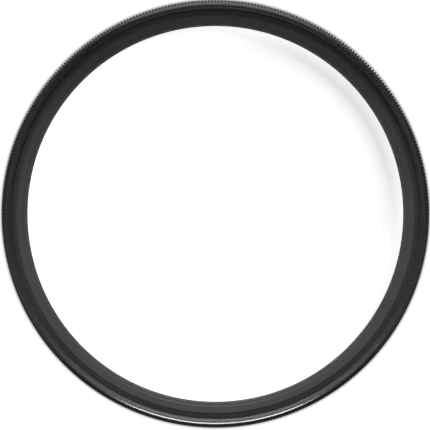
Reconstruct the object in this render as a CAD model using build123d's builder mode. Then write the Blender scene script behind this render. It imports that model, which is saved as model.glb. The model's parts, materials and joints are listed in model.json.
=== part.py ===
from build123d import *
import os
from math import pi

# Clear screw-in lens filter, lying on the end of its rear thread with its front up.
# Sizes are in millimetres. The optical axis is +Z, and the rear end of the ring is at z = 0.

# Filter threads, the same at the front and at the rear (M77 x 0.75), left plain here:
# the rear one at its outside, the front one at its inside
thread_diameter = 77.0

# Glass, and the lip of the ring that it rests on
glass_thickness = 2.0
glass_edge_chamfer = 0.2
glass_clearance = 0.1
seat_width = 1.97
lip_height = 1.5
lip_land_height = 0.6
lip_rear_flare = 1.0

# Retaining ring, which holds the glass down and stands proud of the shelf round it;
# its front face falls a little towards the bore
retainer_thickness = 0.8
retainer_clearance = 0.05
retainer_proud = 0.2
retainer_edge_chamfer = 0.1
retainer_face_fall = 0.15
retainer_bevel_width = 0.52
retainer_bevel_height = 0.08

# Rear thread, up to the rim
rear_lead_chamfer = 0.4
rear_relief_width = 0.5
rear_relief_depth = 0.5
bore_wall = 0.55

# Front thread, from the shelf up to the mouth
front_relief_width = 0.9
front_relief_clearance = 0.12
front_thread_length = 1.9
front_thread_height = 0.31
lead_in_height = 0.5
mouth_wall_height = 0.35
mouth_chamfer_width = 0.25
mouth_chamfer_height = 0.15

# Rim, which stands out over the rear thread
rim_overhang = 1.35
rim_web = 1.3
rim_front_bevel_width = 0.31
rim_front_bevel_height = 0.26
rim_rear_bevel = 0.4
rim_land_width = 0.06

# Straight knurl round the rim, between its two bevels
knurl_pitch = 0.626
knurl_depth = 0.3
knurl_land = 0.08

# Radii, worked inward and outward from the thread
thread_radius = thread_diameter / 2
rear_relief_radius = thread_radius - rear_relief_depth
bore_radius = rear_relief_radius - bore_wall
aperture_radius = bore_radius - seat_width
glass_radius = bore_radius - glass_clearance
retainer_radius = bore_radius - retainer_clearance
front_thread_radius = thread_radius - front_thread_height
front_relief_radius = thread_radius + front_relief_clearance
rim_radius = thread_radius + rim_overhang
root_radius = rim_radius - knurl_depth
bevel_radius = root_radius - knurl_land
land_outer_radius = bevel_radius - rim_front_bevel_width
land_inner_radius = land_outer_radius - rim_land_width
mouth_radius = land_inner_radius - mouth_chamfer_width

# Heights, stacked from the rear end: lip, glass, retaining ring, then the front thread
seat_z = lip_height
glass_top_z = seat_z + glass_thickness
retainer_top_z = glass_top_z + retainer_thickness
retainer_bevel_z = retainer_top_z - retainer_face_fall
shelf_z = retainer_top_z - retainer_proud
rim_z = shelf_z - rim_web
knurl_z = rim_z + rim_rear_bevel
front_thread_z = shelf_z + front_relief_width
lead_in_z = front_thread_z + front_thread_length
mouth_z = lead_in_z + lead_in_height
front_z = mouth_z + mouth_wall_height + mouth_chamfer_height
knurl_top_z = front_z - rim_front_bevel_height

# Outline of the knurl: a whole number of teeth, as near to the pitch as the rim allows
tooth_count = round(2 * pi * rim_radius / knurl_pitch)
tooth_angle = 360 / tooth_count
knurl_outline = []
for tooth in range(tooth_count):
    knurl_outline.append(Vector(rim_radius, 0).rotate(Axis.Z, tooth * tooth_angle))
    knurl_outline.append(Vector(root_radius, 0).rotate(Axis.Z, (tooth + 0.5) * tooth_angle))

os.makedirs("parts", exist_ok=True)


# Filter ring: one turned piece, knurled on its rim
with BuildPart() as filter_ring:
    with BuildSketch(Plane.XZ) as ring_section:
        with BuildLine():
            Polyline(
                # rear end and rear thread
                (aperture_radius + lip_rear_flare, 0),
                (thread_radius - rear_lead_chamfer, 0),
                (thread_radius, rear_lead_chamfer),
                (thread_radius, rim_z - rear_relief_width),
                (rear_relief_radius, rim_z - rear_relief_width),
                (rear_relief_radius, rim_z),
                # rim
                (bevel_radius - rim_rear_bevel, rim_z),
                (bevel_radius, knurl_z),
                (bevel_radius, knurl_top_z),
                (land_outer_radius, front_z),
                (land_inner_radius, front_z),
                # mouth and front thread
                (mouth_radius, front_z - mouth_chamfer_height),
                (mouth_radius, mouth_z),
                (front_thread_radius, lead_in_z),
                (front_thread_radius, front_thread_z),
                (front_relief_radius, front_thread_z),
                (front_relief_radius, shelf_z),
                # bore of the glass and the retaining ring
                (bore_radius, shelf_z),
                (bore_radius, seat_z),
                # lip under the glass, flared to the rear
                (aperture_radius, seat_z),
                (aperture_radius, seat_z - lip_land_height),
                close=True,
            )
        make_face()
    revolve(axis=Axis.Z)

    # Knurled band, let into the ring behind the roots of its teeth
    with BuildSketch(Plane.XY.offset(knurl_z)) as knurl_section:
        with BuildLine():
            Polyline(*knurl_outline, close=True)
        make_face()
        Circle(bevel_radius - knurl_land, mode=Mode.SUBTRACT)
    extrude(amount=knurl_top_z - knurl_z)
filter_ring.part.label = "filter_ring"


# Glass disc: flat on both sides, with its ground edge chamfered
with BuildPart() as glass_disc:
    with BuildSketch(Plane.XY.offset(seat_z)):
        Circle(glass_radius)
    extrude(amount=glass_thickness)
    chamfer(glass_disc.edges().filter_by(GeomType.CIRCLE), glass_edge_chamfer)
glass_disc.part.label = "glass_disc"


# Retaining ring: lies on the glass, with a slightly dished face and its bore bevelled towards the front
with BuildPart() as retaining_ring:
    with BuildSketch(Plane.XZ) as retainer_section:
        with BuildLine():
            Polyline(
                (aperture_radius, glass_top_z),
                (retainer_radius, glass_top_z),
                (retainer_radius, retainer_top_z - retainer_edge_chamfer),
                (retainer_radius - retainer_edge_chamfer, retainer_top_z),
                (aperture_radius + retainer_bevel_width, retainer_bevel_z),
                (aperture_radius, retainer_bevel_z - retainer_bevel_height),
                close=True,
            )
        make_face()
    revolve(axis=Axis.Z)
retaining_ring.part.label = "retaining_ring"


for piece in (filter_ring, glass_disc, retaining_ring):
    export_step(piece.part, f"parts/{piece.part.label}.step")
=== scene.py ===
import bpy
import json
from math import cos, floor, hypot, pi, radians, sin
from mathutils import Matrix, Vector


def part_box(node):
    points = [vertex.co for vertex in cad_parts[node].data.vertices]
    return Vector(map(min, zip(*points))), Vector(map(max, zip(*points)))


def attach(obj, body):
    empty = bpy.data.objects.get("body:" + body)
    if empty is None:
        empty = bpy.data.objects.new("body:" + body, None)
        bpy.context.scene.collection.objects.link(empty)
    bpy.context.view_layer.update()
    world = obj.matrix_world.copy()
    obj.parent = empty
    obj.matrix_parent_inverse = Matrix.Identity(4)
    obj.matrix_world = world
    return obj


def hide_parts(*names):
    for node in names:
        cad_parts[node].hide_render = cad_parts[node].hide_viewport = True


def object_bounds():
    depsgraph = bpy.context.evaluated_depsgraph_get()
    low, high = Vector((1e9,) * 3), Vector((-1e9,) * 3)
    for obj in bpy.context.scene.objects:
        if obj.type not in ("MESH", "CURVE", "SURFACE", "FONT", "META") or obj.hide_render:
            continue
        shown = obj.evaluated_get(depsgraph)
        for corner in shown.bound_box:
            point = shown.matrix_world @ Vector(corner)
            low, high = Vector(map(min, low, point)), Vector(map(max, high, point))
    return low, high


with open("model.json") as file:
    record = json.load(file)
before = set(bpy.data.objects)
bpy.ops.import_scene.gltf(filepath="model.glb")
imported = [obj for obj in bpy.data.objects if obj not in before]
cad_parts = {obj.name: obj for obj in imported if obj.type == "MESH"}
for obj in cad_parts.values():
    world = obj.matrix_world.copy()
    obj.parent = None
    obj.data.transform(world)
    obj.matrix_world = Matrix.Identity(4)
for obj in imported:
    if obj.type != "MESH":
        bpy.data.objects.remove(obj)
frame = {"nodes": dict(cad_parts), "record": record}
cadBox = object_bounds()
print("frame loaded:", ", ".join(sorted(frame["nodes"])))

mm = 0.001  # sizes below are in millimetres, apart from the lamps, which are in metres
columns = 400  # points round each turned edge, one to each tooth of the knurl
cosines = [cos(2 * pi * c / columns) for c in range(columns)]
sines = [sin(2 * pi * c / columns) for c in range(columns)]
steps = [(c, (c + 1) % columns) for c in range(columns)]  # each column with the next one round


def nodeReach(node):  # outside radius, lowest and highest level of a CAD node
    low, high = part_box(node)
    return high.x / mm, low.z / mm, high.z / mm


def threadReach(name):  # radius, lowest and highest level of a thread
    mount = next(m for m in frame["record"]["mounts"] if m["name"] == name)
    middle = mount["pos_m"][2] / mm
    half = mount["dims"]["length_mm"] / 2
    return mount["dims"]["r_mm"], middle - half, middle + half


def newShell():
    return {"points": [], "wear": [], "faces": []}


def addPoint(shell, x, y, z, wear=0.0):
    shell["points"].append((x * mm, y * mm, z * mm))
    shell["wear"].append(wear)
    return len(shell["points"]) - 1


def addRing(shell, radius, level, wear=0.0):
    return [addPoint(shell, radius * cosines[c], radius * sines[c], level, wear) for c in range(columns)]


def joinRings(shell, before, after):  # faces look to the right of the way the section runs
    for c in range(len(before)):
        d = (c + 1) % len(before)
        shell["faces"].append((before[c], before[d], after[d], after[c]))


cornerArc = {
    "steps": (0.0, 0.33, 0.67, 1.0),  # its points, as shares of the way from one side to the other
    "armShare": 0.3,  # it takes up no more than this of either side
    "guard": 1.4,  # rows just beyond its ends keep the flats beside it flat
}


def corner(radius, level, rounding=0.0, wear=0.0):
    return radius, level, rounding, wear


def softCorners(corners):  # rows of (radius, level, wear), with each rounded corner as a small arc
    guard = cornerArc["guard"]
    rows = []
    for k, (r, z, rounding, wear) in enumerate(corners):
        if not rounding or k == 0 or k == len(corners) - 1:
            rows.append((r, z, wear))
            continue
        arms = []
        for besideRadius, besideLevel, _, _ in (corners[k - 1], corners[k + 1]):
            dr, dz = besideRadius - r, besideLevel - z
            reach = hypot(dr, dz)
            arms.append((dr / reach, dz / reach, min(rounding, cornerArc["armShare"] * reach)))
        (ar, az, a), (br, bz, b) = arms
        rows.append((r + ar * a * guard, z + az * a * guard, wear))
        for s in cornerArc["steps"]:
            p, q = (1 - s) ** 2, s ** 2
            rows.append((r + ar * a * p + br * b * q, z + az * a * p + bz * b * q, wear))
        rows.append((r + br * b * guard, z + bz * b * guard, wear))
    return rows


def turnRows(shell, rows, last=None):  # lathe the rows in turn, starting from the ring called last
    first = last
    for r, z, wear in rows:
        ring = addRing(shell, r, z, wear)
        if last:
            joinRings(shell, last, ring)
        first = first or ring
        last = ring
    return first, last


threadRows = {
    "spareTurns": 2,  # turns past either end, which close up on the end rings
    "touch": 1e-6,  # a point this near to an end is the end ring's own
    "crestSlack": 1.01,  # lets the rows at a crest's own edges count as crest
}


def addThread(shell, thread, low, high, limit, inside):
    # rows follow the helix, so crests and roots stay true
    crest, flank, ease = thread["crestShare"] / 2, thread["flankShare"], thread["easeShare"]
    marks = [crest - ease, crest + ease, crest + flank / 2, crest + flank - ease, crest + flank + ease]
    marks = sorted(marks + [1 - m for m in marks])
    pitch, count = thread["pitch"], len(marks)
    touch, spare = threadRows["touch"], threadRows["spareTurns"]

    def offCrest(phase):  # distance from the middle of a crest, in turns
        return abs((phase + 0.5) % 1 - 0.5)

    def radiusAt(phase, z):
        share = min(max((offCrest(phase) - crest) / flank, 0.0), 1.0)
        return limit(thread["crestRadius"] + share * (thread["rootRadius"] - thread["crestRadius"]), z)

    def endRing(z):
        ring = []
        for c in range(columns):
            r = radiusAt(z / pitch - c / columns, z)
            ring.append(addPoint(shell, r * cosines[c], r * sines[c], z))
        return ring

    lowRing, highRing = endRing(low), endRing(high)
    made = {}

    def pointAt(row, c):
        phase = row // count + marks[row % count]
        z = pitch * (phase + c / columns)
        if z <= low + touch:
            return lowRing[c]
        if z >= high - touch:
            return highRing[c]
        if (row, c) not in made:
            r = radiusAt(phase, z)
            onCrest = offCrest(phase) < crest + ease * threadRows["crestSlack"]
            wear = thread["crestWear"] if onCrest else 0.0
            made[row, c] = addPoint(shell, r * cosines[c], r * sines[c], z, wear)
        return made[row, c]

    for row in range((floor(low / pitch) - spare) * count, (floor(high / pitch) + spare) * count):
        for c, d in steps:
            shift = 0 if d else count  # a full turn climbs one pitch
            loop = [pointAt(row, c), pointAt(row + shift, d),
                    pointAt(row + 1 + shift, d), pointAt(row + 1, c)]
            face = [p for k, p in enumerate(loop) if p not in loop[:k]]
            if len(face) > 2:
                shell["faces"].append(tuple(reversed(face)) if inside else tuple(face))
    return lowRing, highRing


def addKnurl(shell, knurl, rimRadius, base, low, high, lowRing, highRing):
    half = knurl["tooth"]
    tooth = half + [(1 - along, deep) for along, deep in reversed(half[1:-1])]
    per, ease, fall = len(tooth), knurl["endEase"], knurl["endFall"]

    def row(levelAt, inset):
        ring = []
        for c in range(columns):
            for along, deep in tooth:
                turn = 2 * pi * (c + along) / columns
                r = rimRadius - knurl["depth"] * deep - inset
                wear = knurl["wear"] if deep < knurl["wornTo"] else 0.0
                ring.append(addPoint(shell, r * cos(turn), r * sin(turn), levelAt(r), wear))
        return ring

    rows = [
        row(lambda r: low + (r - base) * fall, ease),
        row(lambda r: low + (r - base) * fall + ease, 0),
        row(lambda r: high - (r - base) * fall - ease, 0),
        row(lambda r: high - (r - base) * fall, ease),
    ]
    for before, after in zip(rows, rows[1:]):
        joinRings(shell, before, after)
    for c, d in steps:  # each tooth's two ends, closed on the turned rim
        span = [(c * per + k) % (columns * per) for k in range(per + 1)]
        shell["faces"].append((lowRing[c], lowRing[d]) + tuple(rows[0][k] for k in reversed(span)))
        shell["faces"].append(tuple(rows[-1][k] for k in span) + (highRing[d], highRing[c]))


def putInScene(name, data):
    made = bpy.data.objects.new(name, data)
    bpy.context.scene.collection.objects.link(made)
    return made


def shellToObject(shell, name, sharpAngle):
    mesh = bpy.data.meshes.new(name)
    mesh.from_pydata(shell["points"], [], shell["faces"])
    mesh.validate()
    wear = mesh.attributes.new("edgeWear", "FLOAT", "POINT")
    wear.data.foreach_set("value", shell["wear"])
    mesh.polygons.foreach_set("use_smooth", [True] * len(mesh.polygons))
    mesh.set_sharp_from_angle(angle=radians(sharpAngle))
    return putInScene(name, mesh)


ringSizes = {
    "knurl": {  # half a tooth, as (share of the pitch from the crest, share of the depth)
        "tooth": [(0.0, 0.0), (0.24, 0.0), (0.31, 0.1), (0.4, 0.9), (0.5, 1.0)], "depth": 0.36,
        "endEase": 0.03, "endFall": 1.6,  # how the teeth's ends are broken, and how steeply they fall
        "wear": 0.4, "wornTo": 0.2,  # their tops are rubbed, down to this share of the depth
    },
    "rimRear": 2.8, "rearBevel": 0.4, "rootLand": 0.02,  # rim, from its rear face to the mouth
    "bevelWidth": 0.30, "bevelHeight": 0.18, "bevelStart": 0.1, "landWidth": 0.06,
    "chamferWidth": 0.22, "chamferHeight": 0.134,
    "leadInRise": 0.5, "bendWidth": 0.5, "bendRise": 0.36,  # cone over the front thread, flatter at its foot
    "crestBack": 0.17, "runOut": 2.0,  # the thread's crests are cut back, and its roots run out into the cone
    "frontThread": {
        "pitch": 0.75, "height": 0.25, "crestShare": 0.38, "flankShare": 0.254, "easeShare": 0.025,
        "crestWear": 0.2,
    },
    "frontRelief": 38.62, "shelf": 4.2, "bore": 37.41, "seat": 1.5,  # from the front thread down to the glass
    "aperture": 35.48, "lipLand": 0.6, "flare": 1.0,  # lip under the glass
    "rearRelief": 38.0, "rearLead": 38.03, "rearEdge": 37.9,
    "rearThread": {
        "pitch": 0.75, "height": 0.46, "crestShare": 0.125, "flankShare": 0.354, "easeShare": 0.025,
        "crestWear": 0.4,
    },
    "edge": 0.03, "softEdge": 0.05, "seamEdge": 0.01,  # rounding of sharp, broken and fitted edges
    "wear": {"rear": 0.4, "bevel": 0.2, "land": 0.4, "mouth": 1.0, "lip": 0.4},
    "sharpAngle": 40,
}


def buildRing(sizes):
    shell = newShell()
    rimRadius, rear, front = nodeReach("filter_ring")
    rearRadius, _, rearTop = threadReach("rear_thread")
    threadRadius, frontLow, frontTop = threadReach("front_thread")
    edge, softEdge, wear = sizes["edge"], sizes["softEdge"], sizes["wear"]

    # rear end and rear thread
    flareRadius = sizes["aperture"] + sizes["flare"]
    firstRing, last = turnRows(shell, [(flareRadius, rear, 0.0), (sizes["rearEdge"], rear, 0.0)])
    rearRoot = rearRadius - sizes["rearThread"]["height"]
    thread = dict(sizes["rearThread"], crestRadius=rearRadius, rootRadius=rearRoot)
    low, high = addThread(shell, thread, rear, rearTop, lambda r, z: min(r, sizes["rearLead"] + z), False)
    joinRings(shell, last, low)

    # rear of the rim
    bevelRadius = rimRadius - sizes["knurl"]["depth"] - sizes["rootLand"]
    rimRear = sizes["rimRear"]
    knurlRear = rimRear + sizes["rearBevel"]
    lowBevel = turnRows(shell, softCorners([
        corner(sizes["rearRelief"], rearTop),
        corner(sizes["rearRelief"], rimRear),
        corner(bevelRadius - sizes["rearBevel"], rimRear, softEdge, wear["rear"]),
        corner(bevelRadius, knurlRear)]), high)[1]

    # front of the rim, mouth and cone
    bevelWidth, bevelHeight, start = sizes["bevelWidth"], sizes["bevelHeight"], sizes["bevelStart"]
    bevelLevel = front - bevelHeight
    landRadius = bevelRadius - bevelWidth
    mouthEdge = landRadius - sizes["landWidth"]
    mouthRadius = mouthEdge - sizes["chamferWidth"]
    leadInTop = frontTop + sizes["leadInRise"]
    slope = sizes["leadInRise"] / (mouthRadius - threadRadius)
    throatRadius = threadRadius + sizes["crestBack"]
    threadTop = leadInTop - slope * (mouthRadius - throatRadius)
    bendRadius = throatRadius + sizes["bendWidth"] * (mouthRadius - throatRadius)
    bendLevel = threadTop + sizes["bendRise"] * (leadInTop - threadTop)
    highBevel, last = turnRows(shell, softCorners([
        corner(bevelRadius, bevelLevel, wear=wear["bevel"]),
        corner(bevelRadius - start * bevelWidth, bevelLevel + start * bevelHeight, wear=wear["bevel"]),
        corner(landRadius, front, edge, wear["land"]),
        corner(mouthEdge, front, edge, wear["mouth"]),
        corner(mouthRadius, front - sizes["chamferHeight"], edge, wear["mouth"]),
        corner(mouthRadius, leadInTop, edge),
        corner(bendRadius, bendLevel, softEdge),
        corner(throatRadius, threadTop)])[:-1])  # the last corner's row is the thread's own end ring
    addKnurl(shell, sizes["knurl"], rimRadius, bevelRadius, knurlRear, bevelLevel, lowBevel, highBevel)

    # front thread, shelf, bore and lip
    frontRoot = throatRadius + sizes["frontThread"]["height"]
    thread = dict(sizes["frontThread"], crestRadius=throatRadius, rootRadius=frontRoot)
    low, high = addThread(shell, thread, frontLow, threadTop,
                          lambda r, z: min(r, throatRadius + sizes["runOut"] * (threadTop - z)), True)
    joinRings(shell, last, high)
    last = turnRows(shell, softCorners([
        corner(sizes["frontRelief"], frontLow),
        corner(sizes["frontRelief"], sizes["shelf"]),
        corner(sizes["bore"], sizes["shelf"], sizes["seamEdge"]),
        corner(sizes["bore"], sizes["seat"]),
        corner(sizes["aperture"], sizes["seat"], edge, wear["lip"]),
        corner(sizes["aperture"], sizes["seat"] - sizes["lipLand"], softEdge, wear["lip"]),
        corner(flareRadius, rear)])[:-1], low)[1]
    joinRings(shell, last, firstRing)
    return shellToObject(shell, "filterRing", sizes["sharpAngle"])


retainerSizes = {
    "bore": 35.48, "boreChamferWidth": 0.13, "boreChamferHeight": 0.2,
    "edgeChamfer": 0.02, "faceFall": 0.185, "bevelWidth": 0.52, "bevelHeight": 0.06,
    "stepWidth": 0.24, "stepHeight": 0.09,  # a steeper step parts the face from the bevel
    "edge": 0.02, "seamEdge": 0.01,  # rounding of the open and the fitted edges
    "wear": {"outside": 0.3, "step": 0.2, "bore": 0.3},
    "sharpAngle": 40,
}


def buildRetainer(sizes):
    shell = newShell()
    outside, low, high = nodeReach("retaining_ring")
    bore, edge, seamEdge, wear = sizes["bore"], sizes["edge"], sizes["seamEdge"], sizes["wear"]
    bevelRadius = bore + sizes["bevelWidth"]
    stepLevel = high - sizes["faceFall"]
    bevelLevel = stepLevel - sizes["stepHeight"]
    chamferLevel = bevelLevel - sizes["bevelHeight"]
    firstRing, last = turnRows(shell, softCorners([
        corner(bore, low),
        corner(outside, low),
        corner(outside, high - sizes["edgeChamfer"], seamEdge, wear["outside"]),
        corner(outside - sizes["edgeChamfer"], high, seamEdge, wear["outside"]),
        corner(bevelRadius + sizes["stepWidth"], stepLevel, edge, wear["step"]),
        corner(bevelRadius, bevelLevel, edge, wear["step"]),
        corner(bore + sizes["boreChamferWidth"], chamferLevel, edge, wear["bore"]),
        corner(bore, chamferLevel - sizes["boreChamferHeight"], edge, wear["bore"]),
        corner(bore, low)])[:-1])
    joinRings(shell, last, firstRing)
    return shellToObject(shell, "retainingRing", sizes["sharpAngle"])


glassSizes = {
    "chamfer": 0.2, "rounding": 0.03,
    "gap": 0.005,  # keeps it a hair clear of the seat and the retaining ring
    "faceRadii": [6.0, 14.0, 24.0, 32.0, 36.0, 36.6],
    "groundFrom": 1.05,  # where the ground edge starts, in chamfer widths from the outside
    "sharpAngle": 25,
}


def buildGlass(sizes):
    shell = newShell()
    radius, low, high = nodeReach("glass_disc")
    low += sizes["gap"]
    high -= sizes["gap"]
    chamfer, rounding = sizes["chamfer"], sizes["rounding"]
    *innerRadii, faceEdge = sizes["faceRadii"]
    rows = [(r, low, 0.0) for r in innerRadii]
    rows += softCorners([
        corner(faceEdge, low),
        corner(radius - chamfer, low, rounding),
        corner(radius, low + chamfer, rounding),
        corner(radius, high - chamfer, rounding),
        corner(radius - chamfer, high, rounding),
        corner(faceEdge, high)])
    rows += [(r, high, 0.0) for r in reversed(innerRadii)]
    firstRing, last = turnRows(shell, rows)
    lowMiddle, highMiddle = addPoint(shell, 0, 0, low), addPoint(shell, 0, 0, high)
    for c, d in steps:
        shell["faces"].append((firstRing[d], firstRing[c], lowMiddle))
        shell["faces"].append((last[c], last[d], highMiddle))
    made = shellToObject(shell, "glassDisc", sizes["sharpAngle"])
    groundRadius = (radius - chamfer * sizes["groundFrom"]) * mm
    for polygon in made.data.polygons:  # the ground edge is the second material
        polygon.material_index = 1 if hypot(polygon.center.x, polygon.center.y) > groundRadius else 0
    return made


filterRing = buildRing(ringSizes)
retainingRing = buildRetainer(retainerSizes)
glassDisc = buildGlass(glassSizes)
for piece in (filterRing, retainingRing, glassDisc):
    print("turned", piece.name, len(piece.data.polygons), "faces")


def newGroup(name, inputs, outputs):  # shader node group with plain number sockets
    group = bpy.data.node_groups.new(name, "ShaderNodeTree")
    for label, value in inputs.items():
        group.interface.new_socket(label, in_out="INPUT", socket_type="NodeSocketFloat").default_value = value
    for label in outputs:
        group.interface.new_socket(label, in_out="OUTPUT", socket_type="NodeSocketFloat")
    return group, group.nodes.new("NodeGroupInput").outputs, group.nodes.new("NodeGroupOutput").inputs


def feed(tree, socket, value):
    if isinstance(value, bpy.types.NodeSocket):
        tree.links.new(value, socket)
    else:
        socket.default_value = value


def maths(tree, operation, a, b=0.0):
    node = tree.nodes.new("ShaderNodeMath")
    node.operation = operation
    feed(tree, node.inputs[0], a)
    feed(tree, node.inputs[1], b)
    return node.outputs[0]


def blendColour(tree, share, a, b):
    node = tree.nodes.new("ShaderNodeMix")
    node.data_type = "RGBA"
    for place, value in ((0, share), (6, a), (7, b)):  # 6, 7 and output 2 are the node's colour sockets
        feed(tree, node.inputs[place], value)
    return node.outputs[2]


def remap(tree, value, low, high, toLow=0.0, toHigh=1.0):
    node = tree.nodes.new("ShaderNodeMapRange")
    for socket, number in zip(node.inputs[:5], (value, low, high, toLow, toHigh)):
        feed(tree, socket, number)
    return node.outputs[0]


def placePoint(tree):  # the piece's own coordinates, in metres
    return tree.nodes.new("ShaderNodeTexCoord").outputs["Object"]


def noise(tree, perMm, detail, rough):
    node = tree.nodes.new("ShaderNodeTexNoise")
    feed(tree, node.inputs["Vector"], placePoint(tree))
    feed(tree, node.inputs["Scale"], maths(tree, "DIVIDE", perMm, mm))
    node.inputs["Detail"].default_value = detail
    node.inputs["Roughness"].default_value = rough
    return node.outputs[0]


turningLook = {"linesPerMm": 12.0, "detail": 2.0, "wallShare": 0.83}  # they lie a little wider on walls


def makeTurningMarks(look):  # fine rings left by the lathe tool, uneven in depth
    tree, given, out = newGroup("turningMarks", {"Lines per mm": look["linesPerMm"]}, ["Lines", "Across"])
    split = tree.nodes.new("ShaderNodeSeparateXYZ")
    feed(tree, split.inputs[0], placePoint(tree))
    x, y, z = split.outputs
    square = maths(tree, "ADD", maths(tree, "MULTIPLY", x, x), maths(tree, "MULTIPLY", y, y))
    across = maths(tree, "SQRT", square)
    along = maths(tree, "ADD", across, maths(tree, "MULTIPLY", z, look["wallShare"]))
    node = tree.nodes.new("ShaderNodeTexNoise")
    node.noise_dimensions = "1D"
    feed(tree, node.inputs["W"], maths(tree, "DIVIDE", along, mm))
    feed(tree, node.inputs["Scale"], given["Lines per mm"])
    node.inputs["Detail"].default_value = look["detail"]
    feed(tree, out["Lines"], node.outputs[0])
    feed(tree, out["Across"], maths(tree, "DIVIDE", across, mm))  # distance from the axis, in millimetres
    return tree


grainLook = {"grainPerMm": 14.0, "cloudsPerMm": 0.12, "detail": 3.0, "grainRough": 0.6, "cloudRough": 0.55}


def makeGrain(look):  # etched grain of a skin, and a slow cloudy change over it
    inputs = {"Grain per mm": look["grainPerMm"], "Clouds per mm": look["cloudsPerMm"]}
    tree, given, out = newGroup("finishGrain", inputs, ["Grain", "Clouds"])
    feed(tree, out["Grain"], noise(tree, given["Grain per mm"], look["detail"], look["grainRough"]))
    feed(tree, out["Clouds"], noise(tree, given["Clouds per mm"], look["detail"], look["cloudRough"]))
    return tree


rubLook = {"breaksPerMm": 0.5, "reach": 0.65, "detail": 4.0, "rough": 0.6, "span": (0.5, 1.1)}


def makeEdgeRub(look):  # where corners have rubbed bright, broken up along their length
    inputs = {"Breaks per mm": look["breaksPerMm"], "Reach": look["reach"]}
    tree, given, out = newGroup("edgeRub", inputs, ["Rub"])
    mark = tree.nodes.new("ShaderNodeAttribute")
    mark.attribute_name = "edgeWear"
    breaks = noise(tree, given["Breaks per mm"], look["detail"], look["rough"])
    broken = remap(tree, maths(tree, "ADD", breaks, given["Reach"]), *look["span"])
    feed(tree, out["Rub"], maths(tree, "MULTIPLY", mark.outputs["Fac"], broken))
    return tree


dustLook = {"specksPerMm": 0.9, "share": 0.12, "smallest": 0.03, "spread": 0.09}  # sizes are shares of a cell


def makeDust(look):  # a few fine specks
    inputs = {"Specks per mm": look["specksPerMm"], "Share": look["share"]}
    tree, given, out = newGroup("dustSpecks", inputs, ["Dust"])
    cell = tree.nodes.new("ShaderNodeTexVoronoi")
    feed(tree, cell.inputs["Vector"], placePoint(tree))
    feed(tree, cell.inputs["Scale"], maths(tree, "DIVIDE", given["Specks per mm"], mm))
    lot = tree.nodes.new("ShaderNodeSeparateXYZ")
    feed(tree, lot.inputs[0], cell.outputs["Color"])
    chosen = maths(tree, "LESS_THAN", lot.outputs[0], given["Share"])
    size = maths(tree, "ADD", maths(tree, "MULTIPLY", lot.outputs[1], look["spread"]), look["smallest"])
    speck = remap(tree, cell.outputs["Distance"], 0.0, size, 1.0, 0.0)
    feed(tree, out["Dust"], maths(tree, "MULTIPLY", chosen, speck))
    return tree


turningMarks = makeTurningMarks(turningLook)
finishGrain = makeGrain(grainLook)
edgeRub = makeEdgeRub(rubLook)
dustSpecks = makeDust(dustLook)
print("surface groups made")


def newMaterial(name):
    material = bpy.data.materials.new(name)
    material.use_nodes = True
    tree = material.node_tree
    return material, tree, tree.nodes["Principled BSDF"]


def useGroup(tree, group, values):
    node = tree.nodes.new("ShaderNodeGroup")
    node.node_tree = group
    for label, value in values.items():
        node.inputs[label].default_value = value
    return node.outputs


anodising = {  # what the two black finishes share
    "cloudSpan": (0.3, 0.7), "freshBlend": 0.2,
    "lineShare": 0.6, "cloudShare": 0.4, "satinSpan": (0.3, 0.7),
    "glossSpan": (0.5, 1.0), "glossRoughness": 0.18,
    "bumpDepth": 0.02, "grainHeight": 0.5,
    "dustColour": (0.30, 0.29, 0.28, 1), "dustAmount": 0.25,
}
ringFinish = {
    "dark": (0.018, 0.018, 0.0183, 1), "light": (0.024, 0.024, 0.0243, 1),
    "fresh": (0.008, 0.008, 0.0082, 1), "freshFrom": 38.9,  # deeper black outside the mouth
    "rubbed": (0.06, 0.06, 0.059, 1), "rubAmount": 0.3, "burnish": 0.24, "gloss": 0.35,
    "linesPerMm": 13.0, "grainPerMm": 16.0, "smooth": 0.38, "rough": 0.46, "bump": 0.06,
}
retainerFinish = {
    "dark": (0.036, 0.036, 0.0365, 1), "light": (0.049, 0.049, 0.0495, 1),
    "rubbed": (0.10, 0.10, 0.10, 1), "rubAmount": 0.2, "burnish": 0.1,
    "linesPerMm": 9.0, "grainPerMm": 20.0, "smooth": 0.47, "rough": 0.53, "bump": 0.05,
}


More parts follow.
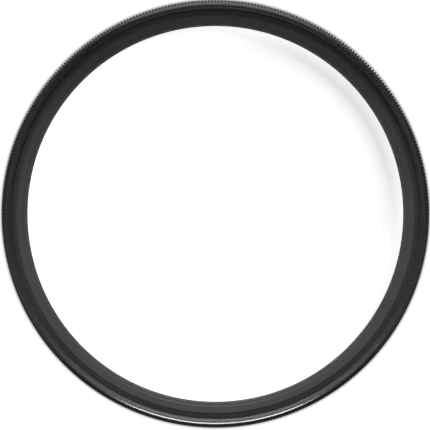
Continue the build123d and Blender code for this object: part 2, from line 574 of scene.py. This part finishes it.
def blackAnodised(name, finish):
    material, tree, shader = newMaterial(name)
    marks = useGroup(tree, turningMarks, {"Lines per mm": finish["linesPerMm"]})
    grain = useGroup(tree, finishGrain, {"Grain per mm": finish["grainPerMm"]})
    rub = useGroup(tree, edgeRub, {})["Rub"]
    dust = useGroup(tree, dustSpecks, {})["Dust"]

    cloudy = remap(tree, grain["Clouds"], *anodising["cloudSpan"])
    colour = blendColour(tree, cloudy, finish["dark"], finish["light"])
    if "fresh" in finish:
        freshTo = finish["freshFrom"] + anodising["freshBlend"]
        fresh = remap(tree, marks["Across"], finish["freshFrom"], freshTo)
        colour = blendColour(tree, fresh, colour, finish["fresh"])
    colour = blendColour(tree, maths(tree, "MULTIPLY", rub, finish["rubAmount"]), colour, finish["rubbed"])
    dusty = maths(tree, "MULTIPLY", dust, anodising["dustAmount"])
    feed(tree, shader.inputs["Base Color"], blendColour(tree, dusty, colour, anodising["dustColour"]))

    lines = maths(tree, "MULTIPLY", marks["Lines"], anodising["lineShare"])
    clouds = maths(tree, "MULTIPLY", grain["Clouds"], anodising["cloudShare"])
    mixed = maths(tree, "ADD", lines, clouds)
    satin = remap(tree, mixed, *anodising["satinSpan"], finish["smooth"], finish["rough"])
    burnish = maths(tree, "MULTIPLY", rub, finish["burnish"])
    feed(tree, shader.inputs["Roughness"], maths(tree, "SUBTRACT", satin, burnish))
    if "gloss" in finish:  # the most rubbed edges shine
        gloss = remap(tree, rub, *anodising["glossSpan"], 0.0, finish["gloss"])
        feed(tree, shader.inputs["Coat Weight"], gloss)
        shader.inputs["Coat Roughness"].default_value = anodising["glossRoughness"]

    bump = tree.nodes.new("ShaderNodeBump")
    bump.inputs["Strength"].default_value = finish["bump"]
    bump.inputs["Distance"].default_value = anodising["bumpDepth"] * mm
    grainHeight = maths(tree, "MULTIPLY", grain["Grain"], anodising["grainHeight"])
    feed(tree, bump.inputs["Height"], maths(tree, "ADD", marks["Lines"], grainHeight))
    feed(tree, shader.inputs["Normal"], bump.outputs[0])
    return material


glassFinish = {
    "tint": (0.95, 0.96, 0.955, 1), "ior": 1.52, "filmThickness": 105.0, "filmIor": 1.38,
    "clean": 0.0, "smeared": 0.012, "smearsPerMm": 0.05, "smearSpan": (0.5, 0.8),  # faint smears, as roughness
    "lampTint": (0.95, 0.955, 0.95, 1),  # of the light that it lets through
}


def coatedGlass(finish):
    material, tree, shader = newMaterial("coatedGlass")
    shader.inputs["Base Color"].default_value = finish["tint"]
    shader.inputs["Transmission Weight"].default_value = 1.0
    shader.inputs["IOR"].default_value = finish["ior"]
    shader.inputs["Thin Film Thickness"].default_value = finish["filmThickness"]
    shader.inputs["Thin Film IOR"].default_value = finish["filmIor"]
    clouds = useGroup(tree, finishGrain, {"Clouds per mm": finish["smearsPerMm"]})["Clouds"]
    smears = remap(tree, clouds, *finish["smearSpan"], finish["clean"], finish["smeared"])
    feed(tree, shader.inputs["Roughness"], smears)
    path = tree.nodes.new("ShaderNodeLightPath")  # lamps and soft light pass straight through
    clear = tree.nodes.new("ShaderNodeBsdfTransparent")
    clear.inputs["Color"].default_value = finish["lampTint"]
    mix = tree.nodes.new("ShaderNodeMixShader")
    straight = maths(tree, "MAXIMUM", path.outputs["Is Shadow Ray"], path.outputs["Is Diffuse Ray"])
    feed(tree, mix.inputs[0], straight)
    feed(tree, mix.inputs[1], shader.outputs[0])
    feed(tree, mix.inputs[2], clear.outputs[0])
    feed(tree, tree.nodes["Material Output"].inputs["Surface"], mix.outputs[0])
    return material


groundEdgeFinish = {
    "pale": (0.80, 0.86, 0.83, 1), "dull": (0.62, 0.70, 0.66, 1), "grainPerMm": 25.0,
    "roughness": 0.55, "clarity": 0.6,
}


def groundEdge(finish):
    material, tree, shader = newMaterial("groundGlassEdge")
    grain = useGroup(tree, finishGrain, {"Grain per mm": finish["grainPerMm"]})["Grain"]
    feed(tree, shader.inputs["Base Color"], blendColour(tree, grain, finish["dull"], finish["pale"]))
    shader.inputs["Roughness"].default_value = finish["roughness"]
    shader.inputs["IOR"].default_value = glassFinish["ior"]
    shader.inputs["Transmission Weight"].default_value = finish["clarity"]
    return material


filterRing.data.materials.append(blackAnodised("blackAnodised", ringFinish))
retainingRing.data.materials.append(blackAnodised("matteBlack", retainerFinish))
glassDisc.data.materials.append(coatedGlass(glassFinish))
glassDisc.data.materials.append(groundEdge(groundEdgeFinish))
print("finishes on")

for piece, node, slotName in (
    (filterRing, "filter_ring", "black_anodised"),
    (retainingRing, "retaining_ring", "matte_black"),
    (glassDisc, "glass_disc", "clear_glass"),
):
    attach(piece, "root")
    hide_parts(node)


tablePaper = {"level": -0.02, "roughness": 0.9, "specular": 0.1}  # it lies a hair under the ring
tableSheets = {  # the white table in three rings, with the glow of each as (distance from its centre, tone); the glow's uneven steps are painted shade and light
    "tableInside": {  # dimmer in one band, a painted shade ring, so that the faint real shadow from its own lamp shows on it
        "from": 0.0, "to": 35.7, "colour": (0.9, 0.9, 0.9, 1), "centre": (4.0, 3.0),
        "glow": [(19.0, 0.97), (27.0, 0.732), (28.6, 0.732), (31.2, 0.97)],
    },
    "tableUnderRim": {  # painted shadow under the rim: dark, and painted lighter towards the top of the picture; the lamps add a little real light
        "from": 35.7, "to": 40.55, "colour": (0.1, 0.1, 0.1, 1), "centre": (0.0, -1000.0),
        "glow": [(1002.0, 0.04), (1016.0, 0.14), (1028.0, 0.55), (1040.0, 0.27)],
    },
    "tableOutside": {  # white, but for a thin painted shade along the rim
        "from": 40.55, "to": 3000.0, "colour": (0.1, 0.1, 0.1, 1), "centre": (0.0, 0.06),
        "glow": [(40.55, 0.36), (41.05, 1.0)],
    },
}


def setSheet(name, sheet, paper):
    level = paper["level"]
    points = []
    for radius in (sheet["from"], sheet["to"]):
        points += [(radius * mm * cosines[c], radius * mm * sines[c], level * mm) for c in range(columns)]
    mesh = bpy.data.meshes.new(name)
    mesh.from_pydata(points, [], [(c, columns + c, columns + d, d) for c, d in steps])
    laid = putInScene(name, mesh)
    material, tree, shader = newMaterial(name)
    shader.inputs["Base Color"].default_value = sheet["colour"]
    shader.inputs["Roughness"].default_value = paper["roughness"]
    shader.inputs["Specular IOR Level"].default_value = paper["specular"]
    shader.inputs["Emission Color"].default_value = (1, 1, 1, 1)
    across = tree.nodes.new("ShaderNodeVectorMath")
    across.operation = "DISTANCE"
    feed(tree, across.inputs[0], placePoint(tree))
    across.inputs[1].default_value = [f * mm for f in (*sheet["centre"], level)]
    # the glow's tone steps paint shade and light onto the table, seen by the camera alone
    glow = sheet["glow"][0][1]
    for (near, nearTone), (far, farTone) in zip(sheet["glow"], sheet["glow"][1:]):  # softly from tone to tone
        change = remap(tree, across.outputs["Value"], near * mm, far * mm, 0.0, farTone - nearTone)
        glow = maths(tree, "ADD", change, glow)
    path = tree.nodes.new("ShaderNodeLightPath")  # the glow is seen, but lights nothing
    seen = maths(tree, "MAXIMUM", path.outputs["Is Camera Ray"], path.outputs["Is Transmission Ray"])
    feed(tree, shader.inputs["Emission Strength"], maths(tree, "MULTIPLY", seen, glow))
    mesh.materials.append(material)
    return laid


lamps = {  # azimuth runs clockwise from the top of the picture
    "windowLamp": {"azimuth": 0, "elevation": 35.5, "distance": 0.7, "size": (0.53, 0.12), "watts": 4.5},
    "ceilingLamp": {"azimuth": 0, "elevation": 65, "distance": 0.7, "size": (0.14, 0.12), "watts": 0.48},
    "skylight": {"azimuth": 0, "elevation": 89, "distance": 0.7, "size": (0.3, 0.3), "watts": 0.3},
    "nearCard": {"azimuth": 185, "elevation": 41, "distance": 0.7, "size": (0.5, 0.28), "watts": 0.75},
    "rightCard": {"azimuth": 112, "elevation": 23, "distance": 0.7, "size": (0.4, 0.1), "watts": 0.29},
    "leftCard": {"azimuth": -112, "elevation": 23, "distance": 0.7, "size": (0.4, 0.1), "watts": 0.36},
    "rightWall": {"azimuth": 29, "elevation": 3.5, "distance": 0.6, "size": (0.4, 0.05), "watts": 0.78},
    "leftWall": {"azimuth": -35, "elevation": 3.5, "distance": 0.6, "size": (0.4, 0.05), "watts": 0.7},
    "tableLamp": {"azimuth": 53, "elevation": 46, "distance": 0.6, "size": (0.16, 0.28), "watts": 1.9},
}


def setLamp(name, lamp, lit):
    turn, climb = radians(lamp["azimuth"]), radians(lamp["elevation"])
    data = bpy.data.lights.new(name, "AREA")
    data.shape = "RECTANGLE"
    data.size, data.size_y = lamp["size"]
    data.energy = lamp["watts"]
    holder = putInScene(name, data)
    way = (sin(turn) * cos(climb), cos(turn) * cos(climb), sin(climb))
    holder.location = [lamp["distance"] * f for f in way]
    holder.rotation_euler = (-holder.location).to_track_quat("-Z", "Y").to_euler()
    holder.visible_camera = False
    receivers = bpy.data.collections.new(name)
    for thing in lit:
        receivers.objects.link(thing)
    holder.light_linking.receiver_collection = receivers


roomTones = {"room": 0.03, "backdrop": 1.0}


def setRoom(tones):  # a dim room round the lamps, which the camera sees as white
    world = bpy.data.worlds.new("studioRoom")
    world.use_nodes = True
    tree = world.node_tree
    background = tree.nodes["Background"]
    seen = tree.nodes.new("ShaderNodeLightPath").outputs["Is Camera Ray"]
    feed(tree, background.inputs["Strength"], remap(tree, seen, 0.0, 1.0, tones["room"], tones["backdrop"]))
    background.inputs["Color"].default_value = (1, 1, 1, 1)
    bpy.context.scene.world = world


sheets = {name: setSheet(name, sheet, tablePaper) for name, sheet in tableSheets.items()}
inside = sheets.pop("tableInside")  # only its own lamp lights it, so the others leave no shade on it
for name, lamp in lamps.items():
    lit = [inside] if name == "tableLamp" else [filterRing, retainingRing, glassDisc, *sheets.values()]
    setLamp(name, lamp, lit)
setRoom(roomTones)
bpy.context.scene.view_settings.view_transform = "Standard"
bpy.context.scene.view_settings.look = "None"
print("studio lit")


cameraSet = {
    "height": 400.0, "lens": 180.0, "sensor": 36.0,  # height is over the front of the ring
    "place": (-0.0745, -0.214),  # the ring stands a touch right of and above the middle of the picture
    "clip": (0.01, 20.0),  # nearest and furthest that it sees, in metres
}


def setCamera(camera):
    data = bpy.data.cameras.new("camera")
    data.lens, data.sensor_width = camera["lens"], camera["sensor"]
    data.clip_start, data.clip_end = camera["clip"]
    holder = putInScene("camera", data)
    x, y = camera["place"]
    holder.location = (x * mm, y * mm, cadBox[1].z + camera["height"] * mm)
    bpy.context.scene.camera = holder


setCamera(cameraSet)
print("camera set")
